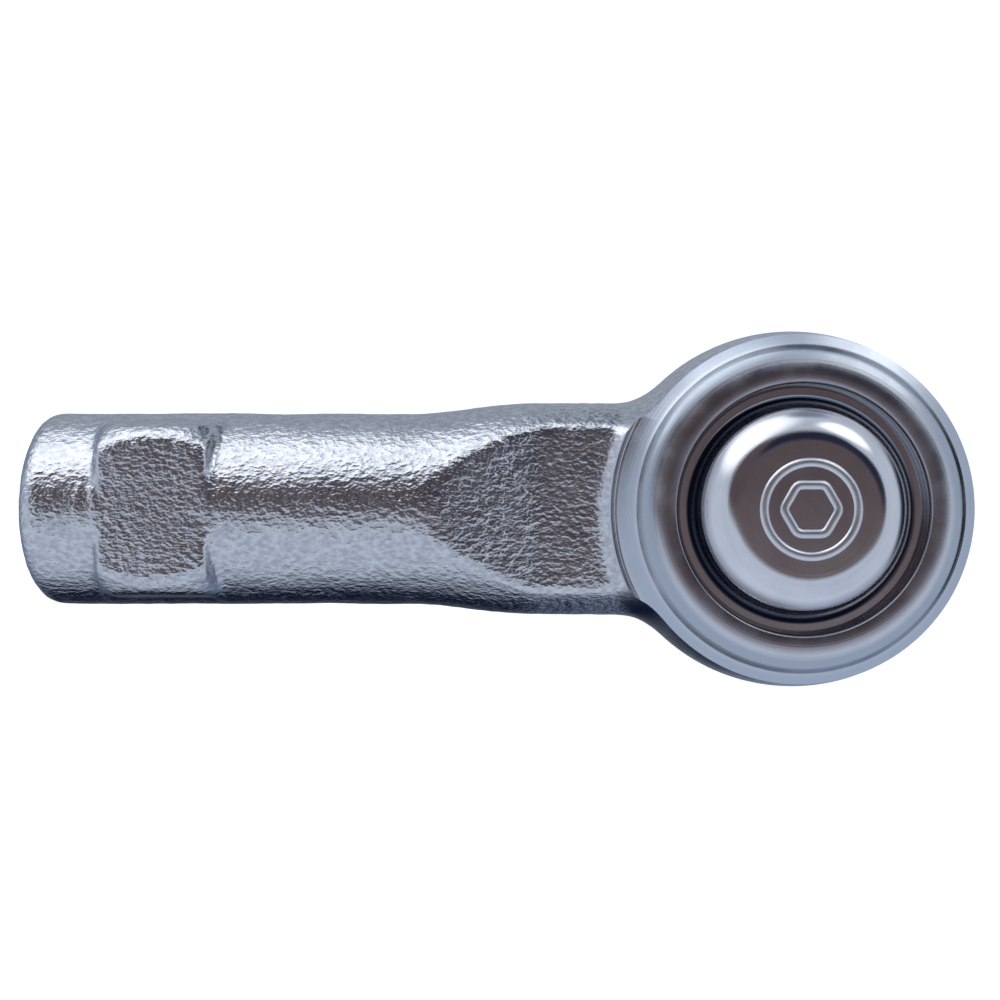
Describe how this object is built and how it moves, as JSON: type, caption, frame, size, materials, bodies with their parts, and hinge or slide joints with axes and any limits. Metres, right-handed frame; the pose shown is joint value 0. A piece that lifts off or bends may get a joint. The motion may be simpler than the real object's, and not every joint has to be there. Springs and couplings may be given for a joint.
{
  "type": "tie rod end",
  "caption": "Tie rod end with a female-thread forged shank, wrench flats, crimped domed cover, and a swivelling ball stud with boot, castle nut and cotter pin.",
  "frame": {"origin": "centre of the shank's threaded hole at the shank's end face", "axes": "+X along the shank to the ball, +Z from the ball to the domed cover, stud along -Z"},
  "size_m": [0.0955, 0.037, 0.0729],
  "materials": {
    "forged_zinc": "rough forged grain under bright zinc plating, turned lip",
    "pressed_zinc": "smooth bright zinc plating",
    "seal_rubber": "matt",
    "spring_steel": "drawn spring steel",
    "bearing_plastic": "natural acetal",
    "ground_steel": "turned and ground",
    "plated_nut": "bright zinc plating",
    "pin_steel": "zinc plated soft wire",
    "boot_rubber": "matt moulded rubber"
  },
  "bodies": {
    "housing": {"housing": "forged_zinc", "cover_plate": "pressed_zinc", "cover_seal_ring": "seal_rubber", "preload_spring": "spring_steel", "upper_bearing_seat": "bearing_plastic", "lower_bearing_seat": "bearing_plastic", "boot_ring_large": "spring_steel"},
    "boot": {"dust_boot": "boot_rubber"},
    "boot_end": {"boot_collar_ring": "bearing_plastic", "boot_ring_small": "spring_steel"},
    "stud": {"ball_stud": "ground_steel", "castle_nut": "plated_nut", "cotter_pin": "pin_steel"}
  },
  "joints": [
    {"name": "stud_swing_along", "type": "hinge", "parent": "housing", "child": "boot", "pos_m": [0.077, 0, 0], "axis": [0, 1, 0], "range_deg": [-18, 18], "deforming": ["dust_boot"]},
    {"name": "stud_swing_across", "type": "hinge", "parent": "boot", "child": "boot_end", "pos_m": [0.077, 0, 0], "axis": [1, 0, 0], "range_deg": [-18, 18]},
    {"name": "stud_spin", "type": "hinge", "parent": "boot_end", "child": "stud", "pos_m": [0.077, 0, 0], "axis": [0, 0, 1], "continuous": true}
  ]
}
